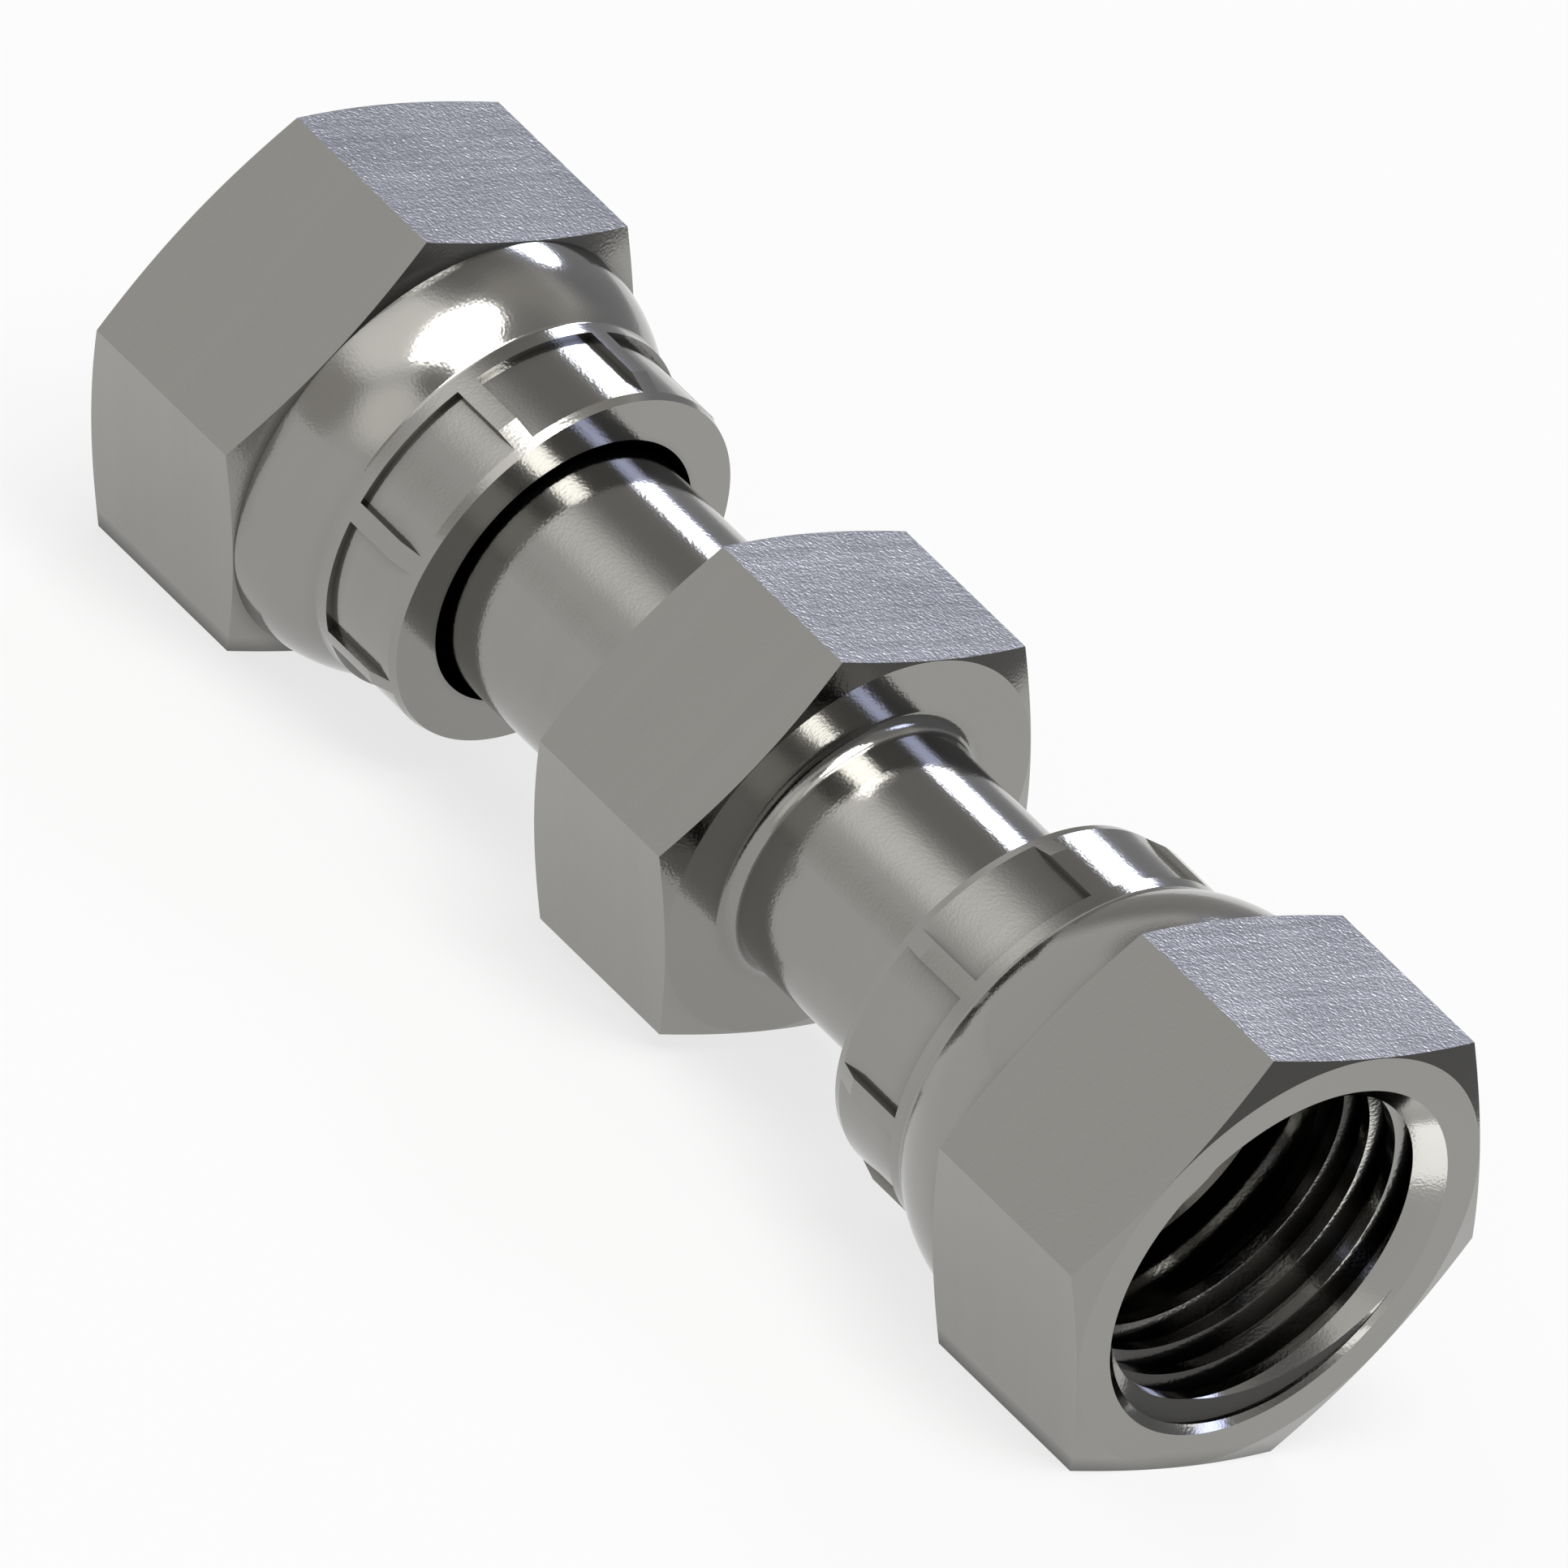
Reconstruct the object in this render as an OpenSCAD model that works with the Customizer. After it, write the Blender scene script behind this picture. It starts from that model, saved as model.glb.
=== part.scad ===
// Straight swivel fitting: a turned body with a crimped swivel nut on each end.
// The fitting lies along X, centred on the origin, with a flat of each hexagon facing down.

/* [Fitting] */
// Length from one nut's mouth to the other's
fitting_len = 55.62; // [52:0.01:90]
// Lean of the chamfers on the hexagons' ends, in degrees
hex_chamfer_angle = 15; // [10:1:30]
// How far a hexagon's flat end face stops short of its flats
face_inset = 0.03; // [0.02:0.01:0.3]

/* [Body] */
// Middle hexagon, across flats
hex_flats = 15.88; // [14:0.01:20]
// Length of the middle hexagon
hex_len = 7.4; // [4:0.1:12]
// Outer diameter of the tube on either side of it
tube_d = 10.28; // [9.4:0.02:10.8]
// Diameter of the bore through the body
bore_d = 7.5; // [5:0.1:8.4]
// Radius of the fillet where the tube meets the hexagon
root_fillet = 0.6; // [0.1:0.05:1.5]
// Diameter of the nose that the nut draws up
nose_d = 12.8; // [12.2:0.1:13.2]
// Length of the nose's straight land
nose_len = 3.52; // [2.6:0.02:3.8]
// Lean of the seat inside the nose, in degrees from the axis
seat_angle = 37; // [30:1:45]
// Diameter of the seat's mouth
seat_mouth_d = 11.8; // [9:0.1:12]
// Lean of the retaining shoulder behind the nose, in degrees from the axis
shoulder_angle = 45; // [40:1:60]

/* [Swivel nuts] */
// Nut hexagon, across flats
nut_flats = 17.46; // [16.8:0.01:24]
// Length of the nut's hexagon
nut_hex_len = 8.08; // [6.5:0.02:8.6]
// Length of the nut from its mouth to its lip
nut_len = 15.43; // [15:0.01:18]
// Radius of the dome behind the hexagon
dome_r = 6.6; // [5.6:0.1:8]
// Lean of the dome where it leaves the hexagon, in degrees
dome_start_angle = 3; // [0:0.5:6]
// Ledge left on the hexagon round the foot of the dome
dome_ledge = 0.04; // [0.03:0.01:0.4]
// Radius of the crease between the dome and the collar
crease_r = 0.3; // [0.1:0.05:0.6]
// Diameter of the collar
collar_d = 15.25; // [14.8:0.05:15.8]
// Length of the tapered lip
lip_len = 1.2; // [0.6:0.05:2.4]
// Lean of the tapered lip, in degrees
lip_angle = 16.8; // [8:0.1:24]

/* [Crimp pockets] */
// Number of pockets round the collar
pocket_count = 8; // [4:1:10]
// Width of the land between two pockets, in degrees round the axis
land_angle = 6; // [3:0.5:12]
// Depth of a pocket below the collar
pocket_depth = 0.26; // [0.1:0.02:0.4]
// Distance from the lip's face to the far wall of a pocket
pocket_reach = 3.5; // [2.6:0.05:3.8]
// Turn of the first pocket from the top flat, in degrees
pocket_turn = 3.8; // [-20:0.1:20]

/* [Thread] */
// Diameter of the threaded hole at the crests of its thread
thread_minor_d = 12.9; // [11.5:0.1:13.1]
// Length of the threaded hole behind its chamfer
thread_len = 5.13; // [4:0.01:5.6]
// Diameter of the relief behind the thread
relief_d = 14.4; // [13.6:0.1:15]
// Length of the relief
relief_len = 1.6; // [0.8:0.1:1.9]
// Diameter of the chamfer at the nut's mouth
mouth_d = 14.64; // [13.6:0.02:15.6]

/* [Clearances] */
// Gap between the tube and the nut's lip
lip_gap = 0.43; // [0.15:0.01:0.8]
// Gap between the nose and the nut's chamber
nose_gap = 0.25; // [0.1:0.05:0.45]
// Distance from the end of the thread to the nose
nose_setback = 2; // [1.6:0.05:2.4]
// Play of the nut along the tube
end_play = 0.35; // [0.15:0.05:0.6]

/* [Hidden] */
$fn = 144;
steel = [0.58, 0.575, 0.555];
nut_steel = [0.62, 0.615, 0.6];
past = 1; // how far a cut runs past the face that it opens

tube_r = tube_d / 2;
nose_r = nose_d / 2;
collar_r = collar_d / 2;
thread_r = thread_minor_d / 2;
mouth_r = mouth_d / 2;
relief_r = relief_d / 2;
nut_corner_r = nut_flats / 2 / cos(30);

// Places along a nut, measured from its mouth
thread_start = mouth_r - thread_r;
thread_end = thread_start + thread_len;
relief_end = thread_end + relief_len;
nose_face = thread_end + nose_setback;
shoulder_start = nose_face + nose_len;
shoulder_slope = 1 / tan(shoulder_angle);
shoulder_end = shoulder_start + (nose_r - tube_r) * shoulder_slope;
chamber_r = nose_r + nose_gap;
chamber_end = shoulder_start + end_play - nose_gap * shoulder_slope;
lip_r = tube_r + lip_gap;
cone_end = chamber_end + (chamber_r - lip_r) * shoulder_slope;
pocket_start = nut_len - pocket_reach;
pocket_floor_r = collar_r - pocket_depth;
lip_start = nut_len - lip_len;
lip_face_r = collar_r - lip_len * tan(lip_angle);

// Centres of the dome's arc and of the crease that runs from it into the collar
dome_base_r = nut_flats / 2 - dome_ledge;
dome_centre = [dome_base_r - dome_r * cos(dome_start_angle), nut_hex_len - dome_r * sin(dome_start_angle)];
crease_out = collar_r + crease_r - dome_centre[0];
crease_centre = [collar_r + crease_r,
                 dome_centre[1] + sqrt(pow(dome_r + crease_r, 2) - pow(crease_out, 2))];
dome_foot = dome_centre + (crease_centre - dome_centre) * dome_r / (dome_r + crease_r);

// Places along the body, measured from the middle of the fitting
half_len = fitting_len / 2;
hex_face = hex_len / 2;
nose_tip = half_len - nose_face;
shoulder_front = half_len - shoulder_start;
shoulder_back = half_len - shoulder_end;

// Hexagonal bar along Z with both ends turned to a shallow cone, and a flat facing +X
module hexagon(flats, length) {
    corner_r = flats / 2 / cos(30);
    face_r = flats / 2 - face_inset;
    reach_r = corner_r + past;
    chamfer = (reach_r - face_r) * tan(hex_chamfer_angle);
    intersection() {
        rotate([0, 0, 30])
            cylinder(h = length, r = corner_r, $fn = 6);
        rotate_extrude()
            polygon([[0, 0], [face_r, 0], [reach_r, chamfer], [reach_r, length - chamfer],
                     [face_r, length], [0, length]]);
    }
}

// Half section of the tube and nose on one side of the body
module tube_section() {
    root = [tube_r + root_fillet, hex_face + root_fillet];
    polygon([[0, 0], [tube_r, 0], [tube_r, shoulder_back], [nose_r, shoulder_front],
             [nose_r, nose_tip], [0, nose_tip]]);
    difference() {
        polygon([[0, 0], [root[0], 0], [root[0], hex_face], [tube_r, root[1]], [0, root[1]]]);
        translate(root)
            circle(r = root_fillet);
    }
}

// Bore through the body, with a seat at each end
module bore_section() {
    bore_r = bore_d / 2;
    seat_r = seat_mouth_d / 2;
    seat_slope = tan(seat_angle);
    seat_end = nose_tip - (seat_r - bore_r) / seat_slope;
    out_r = seat_r + past * seat_slope;
    polygon([[0, -nose_tip - past], [out_r, -nose_tip - past], [bore_r, -seat_end],
             [bore_r, seat_end], [out_r, nose_tip + past], [0, nose_tip + past]]);
}

module body() {
    color(steel)
    rotate([0, -90, 0])
    difference() {
        union() {
            translate([0, 0, -hex_face])
                hexagon(hex_flats, hex_len);
            for (side = [0, 1])
                mirror([0, 0, side])
                    rotate_extrude()
                        tube_section();
        }
        rotate_extrude()
            bore_section();
    }
}

// Half section of the dome, the crease, the collar and the tapered lip
module shoulder_section() {
    buried = nut_hex_len - past / 2;
    intersection() {
        translate(dome_centre)
            circle(r = dome_r);
        translate([0, buried])
            square([nut_corner_r, dome_foot[1] - buried]);
    }
    difference() {
        polygon([[0, buried], [lip_r, buried], dome_foot, [collar_r, crease_centre[1]],
                 [0, crease_centre[1]]]);
        translate(crease_centre)
            circle(r = crease_r);
    }
    polygon([[0, buried], [lip_r, buried], [collar_r, crease_centre[1]], [collar_r, lip_start],
             [lip_face_r, nut_len], [0, nut_len]]);
}

// Half section of all that is hollow in a nut, from its chamfered mouth to its lip
module hollow_section() {
    polygon([[0, -past], [mouth_r + past, -past], [thread_r, thread_start], [thread_r, thread_end],
             [relief_r, thread_end], [relief_r, relief_end], [chamber_r, relief_end],
             [chamber_r, chamber_end], [lip_r, cone_end], [lip_r, nut_len + past],
             [0, nut_len + past]]);
}

// One shallow pocket pressed by a crimping jaw, open towards the lip
module pocket() {
    width = 360 / pocket_count - land_angle;
    rotate_extrude(angle = width, start = -width / 2)
        translate([pocket_floor_r, pocket_start])
            square([pocket_depth + past, pocket_reach + past]);
}

// Nut along +Z with its mouth at the bottom and a flat facing +X
module swivel_nut() {
    difference() {
        union() {
            hexagon(nut_flats, nut_hex_len);
            rotate_extrude()
                shoulder_section();
        }
        rotate_extrude()
            hollow_section();
        for (i = [0 : pocket_count - 1])
            rotate([0, 0, pocket_turn + i * 360 / pocket_count])
                pocket();
    }
}

module right_nut() {
    color(nut_steel)
    translate([half_len, 0, 0])
        rotate([0, -90, 0])
            swivel_nut();
}

// The same nut turned end for end, and round by one flat
module left_nut() {
    color(nut_steel)
    rotate([-60, 0, 180])
        translate([half_len, 0, 0])
            rotate([0, -90, 0])
                swivel_nut();
}

body();
left_nut();
right_nut();
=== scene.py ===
"""Looks of a straight swivel fitting: turned steel, a hexagon in the middle and a crimped nut at each end."""
import math

import bpy
from mathutils import Matrix, Vector


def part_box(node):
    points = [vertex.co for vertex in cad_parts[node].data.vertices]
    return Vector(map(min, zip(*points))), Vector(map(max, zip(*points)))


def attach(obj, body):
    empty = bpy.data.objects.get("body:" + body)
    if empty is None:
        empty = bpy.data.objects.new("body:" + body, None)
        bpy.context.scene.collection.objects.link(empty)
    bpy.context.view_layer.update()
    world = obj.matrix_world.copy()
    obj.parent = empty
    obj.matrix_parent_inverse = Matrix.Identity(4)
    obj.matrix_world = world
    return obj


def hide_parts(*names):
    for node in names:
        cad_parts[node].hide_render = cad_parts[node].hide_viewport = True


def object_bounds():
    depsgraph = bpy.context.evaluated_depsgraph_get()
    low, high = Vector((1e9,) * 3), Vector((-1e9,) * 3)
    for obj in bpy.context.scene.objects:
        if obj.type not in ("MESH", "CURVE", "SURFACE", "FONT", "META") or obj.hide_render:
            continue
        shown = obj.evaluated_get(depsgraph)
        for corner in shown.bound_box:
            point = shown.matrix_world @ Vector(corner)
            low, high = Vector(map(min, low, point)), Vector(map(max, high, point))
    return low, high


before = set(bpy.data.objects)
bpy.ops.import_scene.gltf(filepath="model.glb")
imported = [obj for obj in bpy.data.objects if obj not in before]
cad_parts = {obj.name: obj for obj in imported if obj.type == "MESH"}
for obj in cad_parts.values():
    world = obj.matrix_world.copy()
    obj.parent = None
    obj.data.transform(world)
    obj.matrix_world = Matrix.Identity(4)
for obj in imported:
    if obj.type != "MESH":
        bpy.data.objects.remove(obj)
cad_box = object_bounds()

# Sizes in millimetres. Those of the box round each CAD node are read from the frame.
MM = 0.001
body_low, body_high = (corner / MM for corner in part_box("body"))
nut_low, nut_high = (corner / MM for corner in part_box("right_nut"))

MOUTH_X = nut_high.x                        # face of the right nut's mouth
NUT_LENGTH = nut_high.x - nut_low.x
NUT_FLATS = nut_high.z - nut_low.z
HEX_FLATS = body_high.z - body_low.z        # middle hexagon
NOSE_X = body_high.x                        # tip of the body's right nose

HEX_LENGTH = 7.4
HEX_CHAMFER_ANGLE = math.radians(15)
FACE_INSET = 0.03                           # how far a hexagon's end face stops short of its flats
TUBE_RADIUS = 5.14
BORE_RADIUS = 3.75
ROOT_FILLET = 0.6
NOSE_RADIUS = 6.4
NOSE_LENGTH = 3.52
SEAT_ANGLE = math.radians(37)
SEAT_MOUTH_RADIUS = 5.9

NUT_HEX_LENGTH = 8.08
DOME_RADIUS = 6.6
DOME_START_ANGLE = math.radians(3)
DOME_LEDGE = 0.04
CREASE_RADIUS = 0.3
COLLAR_RADIUS = 7.625
LIP_LENGTH = 1.2
LIP_ANGLE = math.radians(16.8)
LIP_BORE_RADIUS = 5.57
CHAMBER_RADIUS = 6.65
CHAMBER_END = 11.62                         # from the mouth, as all places along a nut

POCKET_COUNT = 8
POCKET_LAND = math.radians(6)
POCKET_DEPTH = 0.26
POCKET_REACH = 3.5
POCKET_TURN = math.radians(3.8)             # of the first pocket, from the top flat

PITCH = 25.4 / 18
THREAD_CREST_RADIUS = 6.45
THREAD_ROOT_RADIUS = 7.144
THREAD_ROOT_WIDTH = PITCH / 8
THREAD_END = 6.0
RELIEF_RADIUS = 7.2
RELIEF_END = 9.0
THREAD_PHASE = 0.776                        # pitches from the mouth to the first groove, at the top
MOUTH_RADIUS = 7.32
MOUTH_CONE_DEPTH = 1.5                      # deeper than where the mouth's chamfer meets the thread

STEPS = 240                                 # facets round a turned surface
ARC_STEP = math.radians(2.5)
MERGE = 0.0005                              # points closer than this become one
SHARP_ANGLE = math.radians(10)
PAST = 1.0                                  # how far a cutter runs past the face that it opens


# Modelling helpers

def begin():
    """Leaves nothing selected, in object mode."""
    if bpy.context.object and bpy.context.object.mode != "OBJECT":
        bpy.ops.object.mode_set(mode="OBJECT")
    bpy.ops.object.select_all(action="DESELECT")


def pick(piece):
    """Selects one object alone and makes it the active one."""
    begin()
    piece.select_set(True)
    bpy.context.view_layer.objects.active = piece


def edit(piece):
    """Opens a piece in edit mode with all of it selected."""
    pick(piece)
    bpy.ops.object.mode_set(mode="EDIT")
    bpy.ops.mesh.select_all(action="SELECT")


def clean(piece):
    """Merges doubles and points the faces outwards."""
    edit(piece)
    bpy.ops.mesh.remove_doubles(threshold=MERGE)
    bpy.ops.mesh.normals_make_consistent(inside=False)
    bpy.ops.object.mode_set(mode="OBJECT")


def drawn_line(name, points):
    """An open line of edges in the XZ plane, drawn point by point, left open in edit mode."""
    begin()
    bpy.ops.mesh.primitive_plane_add(size=1)
    line = bpy.context.object
    line.name = name
    edit(line)
    bpy.ops.mesh.merge(type="CENTER")
    x, z = points[0]
    bpy.ops.transform.translate(value=(x, 0, z))
    for next_x, next_z in points[1:]:
        step = (next_x - x, 0, next_z - z)
        bpy.ops.mesh.extrude_region_move(TRANSFORM_OT_translate={"value": step})
        x, z = next_x, next_z
    bpy.ops.mesh.select_all(action="SELECT")
    return line


def turned(name, outline):
    """A solid turned about the X axis from an outline of (x, radius) points."""
    piece = drawn_line(name, outline)
    bpy.ops.mesh.spin(steps=STEPS, angle=2 * math.pi, center=(0, 0, 0), axis=(1, 0, 0))
    clean(piece)
    return piece


def sector(name, outline, middle, angle):
    """Part of a ring about the X axis, from a closed outline and the angles of its middle and width."""
    piece = drawn_line(name, outline + outline[:1])
    bpy.ops.mesh.remove_doubles(threshold=MERGE)
    bpy.ops.mesh.edge_face_add()
    bpy.ops.mesh.spin(steps=round(STEPS * angle / (2 * math.pi)), angle=angle, center=(0, 0, 0), axis=(1, 0, 0))
    bpy.ops.object.mode_set(mode="OBJECT")
    piece.rotation_euler.x = middle - math.pi / 2 + angle / 2
    bpy.ops.object.transform_apply(location=True, rotation=True, scale=True)
    clean(piece)
    return piece


def arc(centre, radius, start, end):
    """Points on an arc of (x, radius) places, from one angle to another, both ends included."""
    count = max(2, math.ceil(abs(end - start) / ARC_STEP))
    angles = [start + (end - start) * i / count for i in range(count + 1)]
    return [(centre[0] + radius * math.cos(a), centre[1] + radius * math.sin(a)) for a in angles]


def boolean(piece, tool, operation):
    """Joins, cuts or crops a piece with a tool, which is used up."""
    pick(piece)
    modifier = piece.modifiers.new(operation.lower(), "BOOLEAN")
    modifier.operation = operation
    modifier.solver = "EXACT"
    modifier.object = tool
    bpy.ops.object.modifier_apply(modifier=modifier.name)
    bpy.data.objects.remove(tool)


def finish_piece(piece, body, node):
    """Scales a piece from millimetres to metres, shades it, and puts it in the CAD node's place."""
    clean(piece)
    pick(piece)
    piece.scale = (MM, MM, MM)
    bpy.ops.object.transform_apply(location=True, rotation=True, scale=True)
    bpy.ops.object.shade_smooth_by_angle(angle=SHARP_ANGLE)
    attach(piece, body)
    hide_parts(node)
    return piece


# Pieces

def hexagon(name, flats, low_x, high_x):
    """Hexagonal bar along X with a flat on top, both ends turned to a shallow cone."""
    length = high_x - low_x
    corner = flats / 2 / math.cos(math.radians(30))
    face = flats / 2 - FACE_INSET
    reach = corner + PAST
    chamfer = (reach - face) * math.tan(HEX_CHAMFER_ANGLE)
    begin()
    bpy.ops.mesh.primitive_cylinder_add(vertices=6, radius=corner, depth=length + PAST,
                                        location=((low_x + high_x) / 2, 0, 0),
                                        rotation=(0, math.radians(90), 0))
    bar = bpy.context.object
    bar.name = name
    bpy.ops.object.transform_apply(location=True, rotation=True, scale=True)
    cones = turned("cones", [(low_x, 0), (low_x, face), (low_x + chamfer, reach),
                             (high_x - chamfer, reach), (high_x, face), (high_x, 0)])
    boolean(bar, cones, "INTERSECT")
    return bar


def make_body():
    """The turned body: middle hexagon, a tube on either side and a nose at each end."""
    half = HEX_LENGTH / 2
    land = NOSE_X - NOSE_LENGTH
    root = (half + ROOT_FILLET, TUBE_RADIUS + ROOT_FILLET)
    fillet = arc(root, ROOT_FILLET, math.radians(180), math.radians(270))
    side = [(half - PAST, root[1])] + fillet + [
        (land - NOSE_RADIUS + TUBE_RADIUS, TUBE_RADIUS), (land, NOSE_RADIUS), (NOSE_X, NOSE_RADIUS), (NOSE_X, 0)]
    outline = [(-x, r) for x, r in reversed(side)] + side
    body = turned("fitting_body", outline)
    boolean(body, hexagon("middle_hexagon", HEX_FLATS, -half, half), "UNION")
    slope = math.tan(SEAT_ANGLE)
    seat_end = NOSE_X - (SEAT_MOUTH_RADIUS - BORE_RADIUS) / slope
    out = SEAT_MOUTH_RADIUS + PAST * slope
    bore = [(seat_end, BORE_RADIUS), (NOSE_X + PAST, out), (NOSE_X + PAST, 0)]
    boolean(body, turned("bore", [(-x, r) for x, r in reversed(bore)] + bore), "DIFFERENCE")
    return body


def from_mouth(distance):
    """Place along the axis, at a distance from the right nut's mouth."""
    return MOUTH_X - distance


def shoulder_outline():
    """The dome behind the hexagon, its crease, the collar and the tapered lip, as (x, radius) points."""
    base = NUT_FLATS / 2 - DOME_LEDGE
    dome = (NUT_HEX_LENGTH - DOME_RADIUS * math.sin(DOME_START_ANGLE),
            base - DOME_RADIUS * math.cos(DOME_START_ANGLE))
    crease_r = COLLAR_RADIUS + CREASE_RADIUS
    rise = crease_r - dome[1]
    crease = (dome[0] + math.sqrt((DOME_RADIUS + CREASE_RADIUS) ** 2 - rise ** 2), crease_r)
    lean = math.atan2(crease[1] - dome[1], crease[0] - dome[0])
    points = [(NUT_HEX_LENGTH - PAST / 2, 0), (NUT_HEX_LENGTH - PAST / 2, base)]
    points += arc(dome, DOME_RADIUS, math.radians(90) - DOME_START_ANGLE, lean)
    points += arc(crease, CREASE_RADIUS, lean + math.pi, math.radians(270))
    lip_face = COLLAR_RADIUS - LIP_LENGTH * math.tan(LIP_ANGLE)
    points += [(NUT_LENGTH - LIP_LENGTH, COLLAR_RADIUS), (NUT_LENGTH, lip_face), (NUT_LENGTH, 0)]
    return [(from_mouth(s), r) for s, r in points]


def thread_core():
    """A threaded rod as wide as the nut's internal thread, from past the mouth to the end of the thread."""
    flank = (THREAD_ROOT_RADIUS - THREAD_CREST_RADIUS) * math.tan(math.radians(30))
    half = THREAD_ROOT_WIDTH / 2
    turns_inside = math.ceil((THREAD_END + PAST) / PITCH) + 1
    groove = MOUTH_X - (THREAD_PHASE + turns_inside) * PITCH
    core = drawn_line("thread_core", [
        (groove - PITCH / 2, THREAD_CREST_RADIUS), (groove - half - flank, THREAD_CREST_RADIUS),
        (groove - half, THREAD_ROOT_RADIUS), (groove + half, THREAD_ROOT_RADIUS),
        (groove + half + flank, THREAD_CREST_RADIUS), (groove + PITCH / 2, THREAD_CREST_RADIUS)])
    bpy.ops.object.mode_set(mode="OBJECT")
    screw = core.modifiers.new("thread", "SCREW")
    screw.axis = "X"
    screw.angle = 2 * math.pi
    screw.screw_offset = PITCH
    screw.iterations = turns_inside + 2
    screw.steps = screw.render_steps = STEPS // 2
    screw.use_merge_vertices = True
    screw.merge_threshold = MERGE
    pick(core)
    bpy.ops.object.modifier_apply(modifier=screw.name)
    clean(core)
    for place, normal in ((MOUTH_X + PAST / 2, 1), (MOUTH_X - THREAD_END - PAST / 2, -1)):
        edit(core)
        bpy.ops.mesh.bisect(plane_co=(place, 0, 0), plane_no=(normal, 0, 0), use_fill=True, clear_outer=True)
        bpy.ops.object.mode_set(mode="OBJECT")
    clean(core)
    return core


def make_nut():
    """The right swivel nut, with its thread, crimped collar and retaining cone."""
    nut = hexagon("right_swivel_nut", NUT_FLATS, from_mouth(NUT_HEX_LENGTH), MOUTH_X)
    boolean(nut, turned("shoulder", shoulder_outline()), "UNION")
    low = COLLAR_RADIUS - POCKET_DEPTH
    high = COLLAR_RADIUS + PAST
    near = from_mouth(NUT_LENGTH - POCKET_REACH)
    far = from_mouth(NUT_LENGTH + PAST)
    width = 2 * math.pi / POCKET_COUNT - POCKET_LAND
    for i in range(POCKET_COUNT):
        middle = math.pi / 2 - POCKET_TURN - i * 2 * math.pi / POCKET_COUNT
        pocket = sector("pocket", [(near, low), (near, high), (far, high), (far, low)], middle, width)
        boolean(nut, pocket, "DIFFERENCE")
    boolean(nut, thread_core(), "DIFFERENCE")
    mouth_cone = turned("mouth_cone", [
        (from_mouth(MOUTH_CONE_DEPTH), 0), (from_mouth(MOUTH_CONE_DEPTH), MOUTH_RADIUS - MOUTH_CONE_DEPTH),
        (from_mouth(-PAST), MOUTH_RADIUS + PAST), (from_mouth(-PAST), 0)])
    boolean(nut, mouth_cone, "DIFFERENCE")
    cone_end = CHAMBER_END + CHAMBER_RADIUS - LIP_BORE_RADIUS
    chamber = turned("chamber", [
        (from_mouth(THREAD_END), 0), (from_mouth(THREAD_END), RELIEF_RADIUS),
        (from_mouth(RELIEF_END), RELIEF_RADIUS), (from_mouth(RELIEF_END), CHAMBER_RADIUS),
        (from_mouth(CHAMBER_END), CHAMBER_RADIUS), (from_mouth(cone_end), LIP_BORE_RADIUS),
        (from_mouth(NUT_LENGTH + PAST), LIP_BORE_RADIUS), (from_mouth(NUT_LENGTH + PAST), 0)])
    boolean(nut, chamber, "DIFFERENCE")
    return nut


def turned_end_for_end(nut):
    """A copy of the nut on the other end, turned round by one flat as well."""
    pick(nut)
    bpy.ops.object.duplicate()
    copy = bpy.context.object
    copy.name = "left_swivel_nut"
    copy.matrix_world = Matrix.Rotation(math.pi, 4, "Z") @ Matrix.Rotation(math.radians(-60), 4, "X")
    bpy.ops.object.transform_apply(location=True, rotation=True, scale=True)
    return copy


body = make_body()
right_nut = make_nut()
left_nut = turned_end_for_end(right_nut)
finish_piece(body, "body", "body")
finish_piece(right_nut, "right_nut", "right_nut")
finish_piece(left_nut, "left_nut", "left_nut")


# Materials

def new_group(name, inputs, outputs):
    """A shader node group with named sockets; gives back its tree, its inputs and its outputs."""
    tree = bpy.data.node_groups.new(name, "ShaderNodeTree")
    for label, kind, value in inputs:
        socket = tree.interface.new_socket(label, in_out="INPUT", socket_type=kind)
        socket.default_value = value
    for label, kind in outputs:
        tree.interface.new_socket(label, in_out="OUTPUT", socket_type=kind)
    return tree, tree.nodes.new("NodeGroupInput"), tree.nodes.new("NodeGroupOutput")


def add(tree, kind, **settings):
    """Adds a node and sets its properties; a setting that names an input sets that socket instead."""
    node = tree.nodes.new(kind)
    for name, value in settings.items():
        if hasattr(node, name):
            setattr(node, name, value)
        else:
            node.inputs[name.replace("_", " ")].default_value = value
    return node


def maths(tree, operation, first, second):
    """A math node; each operand is a socket or a plain number."""
    node = add(tree, "ShaderNodeMath", operation=operation)
    for socket, value in zip(node.inputs, (first, second)):
        if isinstance(value, (int, float)):
            socket.default_value = value
        else:
            tree.links.new(value, socket)
    return node.outputs[0]


def stretched_noise(tree, place, stretch, scale, detail):
    """Noise on a place that is stretched along each axis; gives its value."""
    mapping = add(tree, "ShaderNodeMapping", Scale=stretch)
    tree.links.new(place, mapping.inputs["Vector"])
    noise = add(tree, "ShaderNodeTexNoise", Scale=scale, Detail=detail)
    tree.links.new(mapping.outputs["Vector"], noise.inputs["Vector"])
    return noise.outputs["Fac"]


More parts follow.
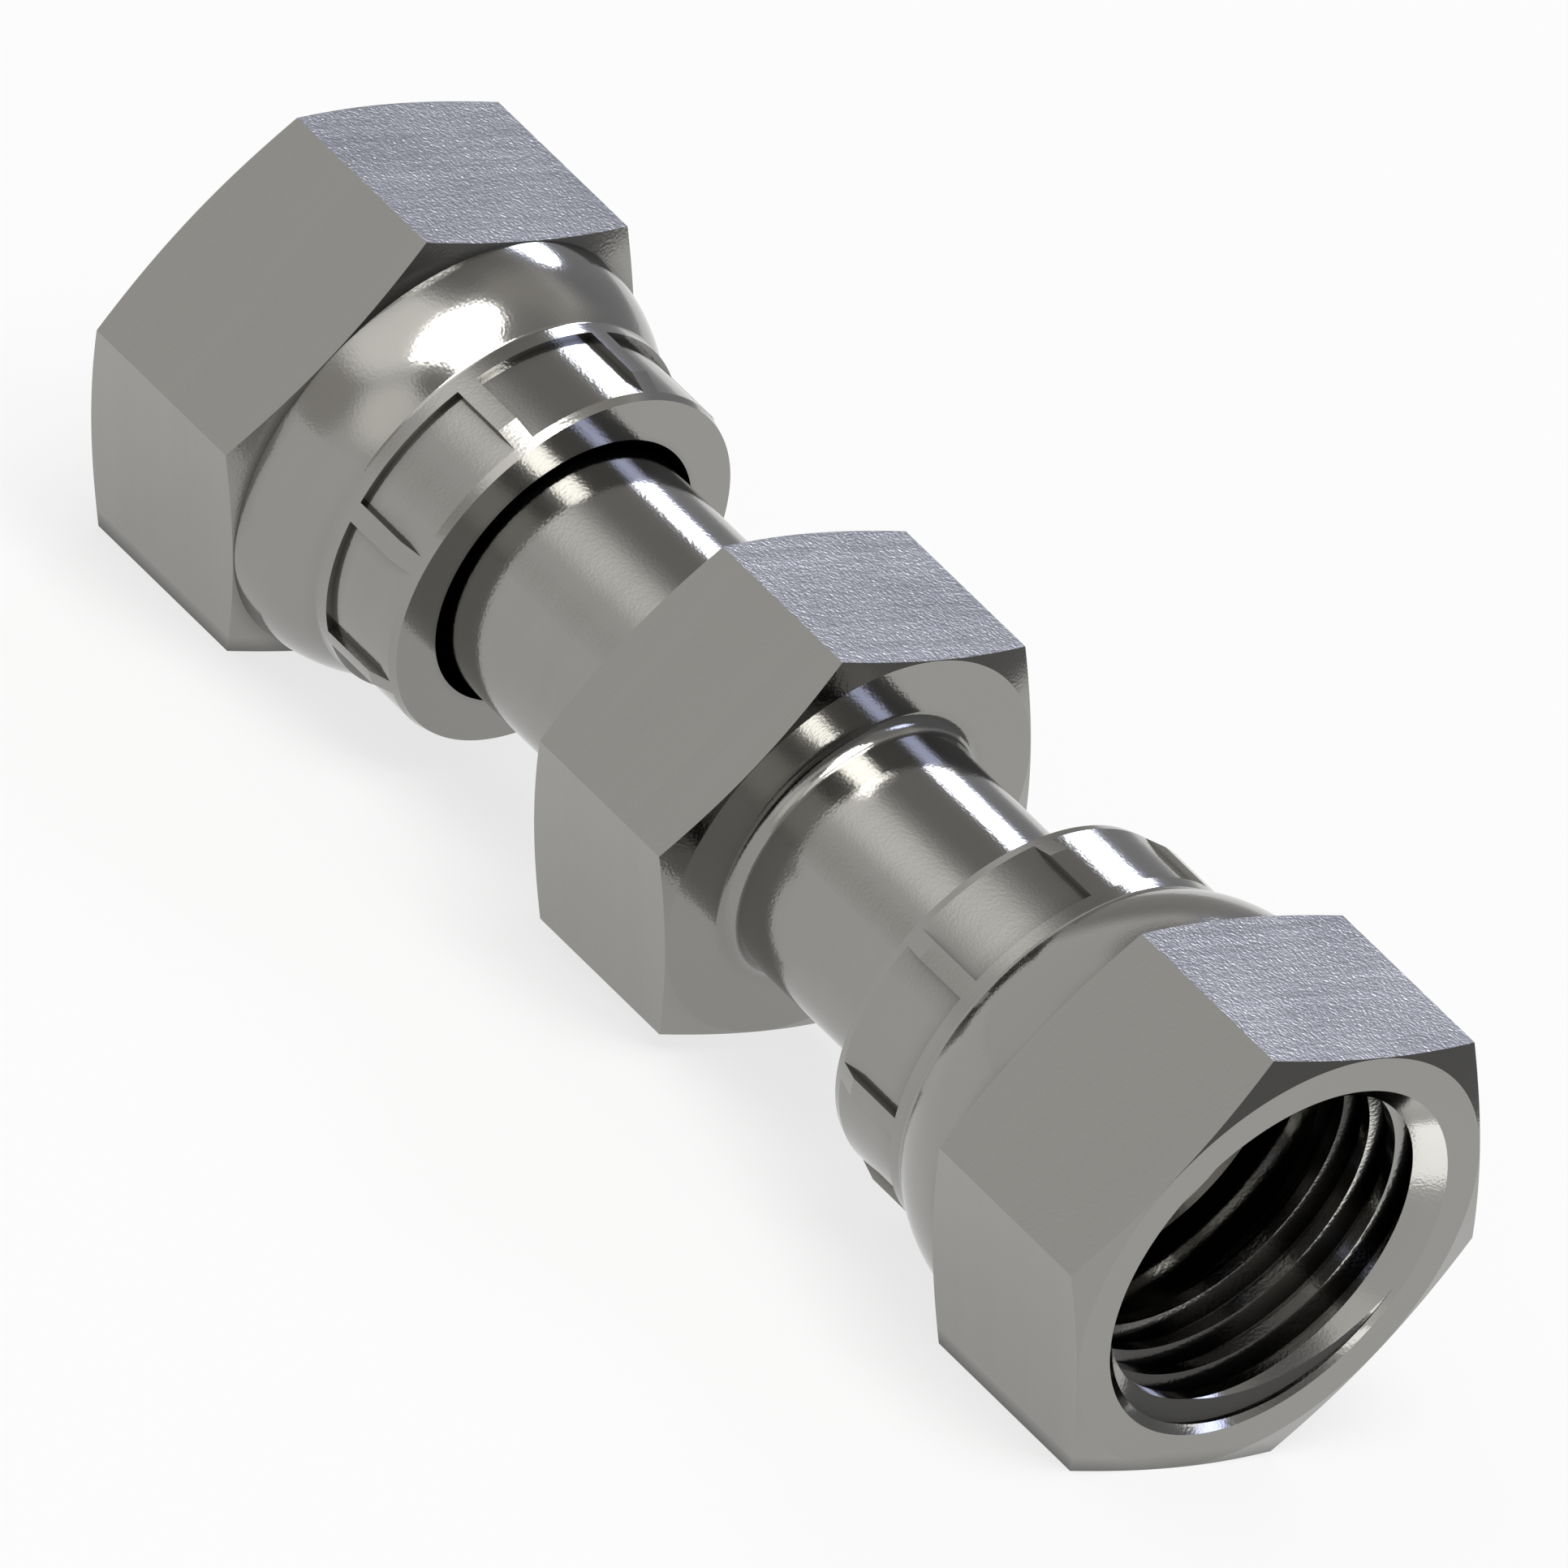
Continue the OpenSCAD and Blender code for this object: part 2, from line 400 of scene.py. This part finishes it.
def tool_lines_group():
    """Fine lines round the axis, left by the cutting tool."""
    tree, given, result = new_group(
        "tool_lines",
        [("Place", "NodeSocketVector", (0, 0, 0)), ("Coarse", "NodeSocketFloat", 2.0)],
        [("Height", "NodeSocketFloat"), ("Tone", "NodeSocketFloat")])
    fine = stretched_noise(tree, given.outputs["Place"], (1, 0.03, 0.03), 6000, detail=1)
    coarse = stretched_noise(tree, given.outputs["Place"], (1, 0.05, 0.05), 1100, detail=2)
    share = maths(tree, "MULTIPLY", coarse, given.outputs["Coarse"])
    tree.links.new(maths(tree, "ADD", maths(tree, "MULTIPLY", fine, 0.2), share), result.inputs["Height"])
    tree.links.new(coarse, result.inputs["Tone"])
    return tree


def grain_group():
    """Fine even grain of bare steel."""
    tree, given, result = new_group(
        "steel_grain", [("Place", "NodeSocketVector", (0, 0, 0))],
        [("Height", "NodeSocketFloat"), ("Spots", "NodeSocketFloat")])
    tree.links.new(stretched_noise(tree, given.outputs["Place"], (1, 1, 1), 9000, detail=0), result.inputs["Height"])
    tree.links.new(stretched_noise(tree, given.outputs["Place"], (1, 1, 1), 260, detail=4), result.inputs["Spots"])
    return tree


TOOL_LINES = tool_lines_group()
GRAIN = grain_group()


STEEL_COLOUR = (0.285, 0.281, 0.268)
STEEL_ROUGHNESS = 0.12
GRAIN_DEPTH = 0.0024                        # millimetres, as the next two
LINE_DEPTH = 0.0020
PAINTED_SHADE_REACH = 0.7                          # how far the painted shade in the inner corners reaches
PAINTED_CORNER_SHADE = 0.8                          # how much of that painted shade shows


def steel(name, colour, roughness, grain, lines):
    """Bare steel: its colour, how soft it mirrors, and how deep its grain and tool lines are in millimetres."""
    material = bpy.data.materials.new(name)
    material.use_nodes = True
    tree = material.node_tree
    shader = tree.nodes["Principled BSDF"]
    shader.inputs["Metallic"].default_value = 1.0
    place = add(tree, "ShaderNodeTexCoord").outputs["Object"]
    line = add(tree, "ShaderNodeGroup", node_tree=TOOL_LINES)
    speck = add(tree, "ShaderNodeGroup", node_tree=GRAIN)
    for node in (line, speck):
        tree.links.new(place, node.inputs["Place"])
    tone = add(tree, "ShaderNodeMix", data_type="RGBA")
    tone.inputs["A"].default_value = (*(0.97 * c for c in colour), 1)
    tone.inputs["B"].default_value = (*(1.03 * c for c in colour), 1)
    tree.links.new(line.outputs["Tone"], tone.inputs["Factor"])
    # Painted shade: an ambient occlusion mask darkens the base colour in inner corners, creases and recesses, where
    # shade falls
    corner = add(tree, "ShaderNodeAmbientOcclusion", samples=4, Distance=PAINTED_SHADE_REACH * MM)
    tree.links.new(tone.outputs["Result"], corner.inputs["Color"])
    shade = add(tree, "ShaderNodeMix", data_type="RGBA", blend_type="MIX")
    shade.inputs["Factor"].default_value = PAINTED_CORNER_SHADE
    tree.links.new(tone.outputs["Result"], shade.inputs["A"])
    tree.links.new(corner.outputs["Color"], shade.inputs["B"])
    tree.links.new(shade.outputs["Result"], shader.inputs["Base Color"])
    soft = maths(tree, "MULTIPLY_ADD", speck.outputs["Spots"], 0.3 * roughness)
    soft.node.inputs[2].default_value = 0.85 * roughness
    tree.links.new(soft, shader.inputs["Roughness"])
    bump_lines = add(tree, "ShaderNodeBump", Strength=1.0, Distance=lines * MM)
    bump_grain = add(tree, "ShaderNodeBump", Strength=1.0, Distance=grain * MM)
    tree.links.new(line.outputs["Height"], bump_lines.inputs["Height"])
    tree.links.new(speck.outputs["Height"], bump_grain.inputs["Height"])
    tree.links.new(bump_lines.outputs["Normal"], bump_grain.inputs["Normal"])
    tree.links.new(bump_grain.outputs["Normal"], shader.inputs["Normal"])
    return material


body_steel = steel("turned_body_steel", STEEL_COLOUR, STEEL_ROUGHNESS, GRAIN_DEPTH, LINE_DEPTH)
nut_steel = steel("turned_nut_steel", STEEL_COLOUR, STEEL_ROUGHNESS, GRAIN_DEPTH, LINE_DEPTH)
for piece, material in ((body, body_steel), (right_nut, nut_steel), (left_nut, nut_steel)):
    piece.data.materials.clear()
    piece.data.materials.append(material)


# Camera, floor and light

LENS = 1700                                 # so long that the view has next to no perspective
SENSOR = 36
FRAME_WIDTH = 53.93                         # of the view, at the fitting
AIM_X = 0.08
CAMERA_TURN = math.radians(36.03)           # round from the front
CAMERA_HEIGHT = math.radians(26.25)
CAMERA_ROLL = math.radians(26.24)


def add_camera():
    """A very long lens that looks at the fitting from above and from the right, rolled."""
    turn = Matrix.Rotation(CAMERA_TURN, 4, "Z") @ Matrix.Rotation(math.pi / 2 - CAMERA_HEIGHT, 4, "X")
    turn = turn @ Matrix.Rotation(CAMERA_ROLL, 4, "Z")
    data = bpy.data.cameras.new("camera")
    data.sensor_width = SENSOR
    data.lens = LENS
    distance = FRAME_WIDTH * MM * LENS / SENSOR
    data.clip_start = distance - 0.5
    data.clip_end = distance + 2
    camera = bpy.data.objects.new("camera", data)
    back = turn.col[2].to_3d()
    camera.matrix_world = Matrix.Translation(Vector((AIM_X * MM, 0, 0)) + back * distance) @ turn
    bpy.context.scene.collection.objects.link(camera)
    bpy.context.scene.camera = camera


def direction(turn, height):
    """Unit vector at an angle round from +X and an angle above the floor, both in degrees."""
    turn, height = math.radians(turn), math.radians(height)
    return (math.cos(turn) * math.cos(height), math.sin(turn) * math.cos(height), math.sin(height))


def soft_patch_group():
    """Mask of a round patch of the surroundings, with a soft rim."""
    tree, given, result = new_group(
        "soft_patch",
        [("View", "NodeSocketVector", (0, 0, 0)), ("Middle", "NodeSocketVector", (0, 0, 1)),
         ("Inner cosine", "NodeSocketFloat", 0.9), ("Outer cosine", "NodeSocketFloat", 0.8)],
        [("Mask", "NodeSocketFloat")])
    dot = add(tree, "ShaderNodeVectorMath", operation="DOT_PRODUCT")
    tree.links.new(given.outputs["View"], dot.inputs[0])
    tree.links.new(given.outputs["Middle"], dot.inputs[1])
    ramp = add(tree, "ShaderNodeMapRange", interpolation_type="SMOOTHSTEP")
    tree.links.new(dot.outputs["Value"], ramp.inputs["Value"])
    tree.links.new(given.outputs["Outer cosine"], ramp.inputs["From Min"])
    tree.links.new(given.outputs["Inner cosine"], ramp.inputs["From Max"])
    tree.links.new(ramp.outputs["Result"], result.inputs["Mask"])
    return tree


# Each patch: turn and height of its middle, inner and outer radius in degrees, colour
STUDIO_BASE = (0.935, 0.93, 0.915)
STUDIO_PATCHES = [
    (55, 8, 26, 50, (0.25, 0.25, 0.26)),            # dark wall behind, on the right
    (112, 22, 14, 32, (0.40, 0.40, 0.42)),          # shade below the window
    (146, 9, 10, 26, (0.45, 0.44, 0.43)),
    (258, 15, 8, 24, (0.62, 0.60, 0.57)),           # dark gap low in front
    (296, 24, 6, 22, (1.42, 1.39, 1.33)),           # pale wall in front, on the right
    (330, 13, 5, 18, (1.20, 1.18, 1.15)),
    (252, 54, 14, 30, (1.72, 1.69, 1.64)),          # front light's wash
    (150, 62, 10, 32, (0.37, 0.36, 0.35)),          # unlit ceiling
    (75, 66, 8, 28, (0.62, 0.60, 0.57)),
    (25, 56, 14, 32, (0.46, 0.45, 0.44)),
    (312, 47, 3, 12, (0.40, 0.39, 0.37)),           # dark gap under the softbox
    (2, 22, 14, 28, (0.25, 0.25, 0.25)),            # dark doorway on the right
    (124, 36, 7, 14, (0.36, 0.39, 0.60)),           # cool glow round the window
    (49, 36, 2, 10, (3.4, 3.7, 5.4)),               # small far window
]
# Each panel: its colour, and the turn and height of its corners in degrees
LIGHT_DISTANCE = 12000                      # so far off that every part of the fitting sees them alike
LIGHT_PANELS = {
    "window_light": ((9.0, 9.3, 10.5), [
        (110.9, 39.6), (116, 43.5), (127, 42.8), (137.3, 44.8), (133.7, 31.5), (127, 28.8), (120, 28.8),
        (115.5, 30.4), (111.8, 33.6)]),
    "softbox": ((13.0, 13.0, 12.8), [
        (273.5, 61.5), (284.2, 51.3), (296.6, 53.9), (310.7, 56.6), (324, 55.5), (336, 52), (352, 53),
        (2, 58), (10.6, 71.1), (33.1, 75.5), (58.3, 80.5), (100.9, 87), (250, 85.5), (261, 73)]),
}
# Cards close to the fitting that only its steel mirrors: colour, and corners in millimetres
CARDS = {
    "dark_card": ((0.22, 0.22, 0.22), [
        (82.8, -2.4, -8.7), (14.8, 82.8, -8.7), (14.8, 82.8, 8), (82.8, -2.4, 8)]),
    "mouth_card": ((2.7, 2.68, 2.65), [
        (28.3, 6.9, -3), (30.2, 4.3, -3), (31.5, 5.5, -3), (29.2, 8, -3)]),
}


def add_panel(name, colour, corners):
    """A glowing panel, drawn by its corners in millimetres."""
    begin()
    bpy.ops.mesh.primitive_circle_add(vertices=len(corners), radius=1, fill_type="NGON")
    panel = bpy.context.object
    panel.name = name
    for vertex, corner in zip(panel.data.vertices, corners):
        vertex.co = MM * Vector(corner)
    material = bpy.data.materials.new(name)
    material.use_nodes = True
    tree = material.node_tree
    tree.nodes.remove(tree.nodes["Principled BSDF"])
    glow = add(tree, "ShaderNodeEmission", Color=(*colour, 1))
    tree.links.new(glow.outputs["Emission"], tree.nodes["Material Output"].inputs["Surface"])
    panel.data.materials.append(material)
    return panel


def light_studio():
    """The walls and ceiling of a plain studio round the fitting."""
    world = bpy.data.worlds.new("studio")
    bpy.context.scene.world = world
    world.use_nodes = True
    tree = world.node_tree
    view = add(tree, "ShaderNodeTexCoord").outputs["Generated"]
    patch_group = soft_patch_group()
    colour = None
    for turn, height, inner, outer, patch in STUDIO_PATCHES:
        mask = add(tree, "ShaderNodeGroup", node_tree=patch_group)
        tree.links.new(view, mask.inputs["View"])
        mask.inputs["Middle"].default_value = direction(turn, height)
        mask.inputs["Inner cosine"].default_value = math.cos(math.radians(inner))
        mask.inputs["Outer cosine"].default_value = math.cos(math.radians(outer))
        mix = add(tree, "ShaderNodeMix", data_type="RGBA")
        if colour:
            tree.links.new(colour, mix.inputs["A"])
        else:
            mix.inputs["A"].default_value = (*STUDIO_BASE, 1)
        mix.inputs["B"].default_value = (*patch, 1)
        tree.links.new(mask.outputs["Mask"], mix.inputs["Factor"])
        colour = mix.outputs["Result"]
    tree.links.new(colour, tree.nodes["Background"].inputs["Color"])


FLOOR_RADIUS = 3                            # metres
FLOOR_COLOUR = 0.10
FLOOR_GLOW = 0.76                           # with what the lit colour adds, about white


def add_floor():
    """A wide pale floor under the lowest flats. What looks at it sees white, with the fitting's soft shadow."""
    begin()
    bpy.ops.mesh.primitive_circle_add(vertices=64, radius=FLOOR_RADIUS, fill_type="NGON",
                                      location=(0, 0, cad_box[0].z))
    floor = bpy.context.object
    floor.name = "floor"
    material = bpy.data.materials.new("pale_floor")
    material.use_nodes = True
    tree = material.node_tree
    shader = tree.nodes["Principled BSDF"]
    shader.inputs["Base Color"].default_value = (FLOOR_COLOUR, FLOOR_COLOUR, FLOOR_COLOUR, 1)
    shader.inputs["Roughness"].default_value = 1.0
    shader.inputs["Specular IOR Level"].default_value = 0.0
    shader.inputs["Emission Color"].default_value = (1, 1, 1, 1)
    path = add(tree, "ShaderNodeLightPath").outputs
    seen = maths(tree, "MAXIMUM", path["Is Camera Ray"], path["Is Glossy Ray"])
    seen = maths(tree, "MAXIMUM", seen, path["Is Transmission Ray"])
    tree.links.new(maths(tree, "MULTIPLY", seen, FLOOR_GLOW), shader.inputs["Emission Strength"])
    floor.data.materials.append(material)


add_camera()
add_floor()
light_studio()
for name, (colour, corners) in LIGHT_PANELS.items():
    add_panel(name, colour, [LIGHT_DISTANCE * Vector(direction(*corner)) for corner in corners])
for name, (colour, corners) in CARDS.items():
    card = add_panel(name, colour, corners)
    card.visible_camera = card.visible_diffuse = card.visible_shadow = False
bpy.context.scene.view_settings.view_transform = "Standard"
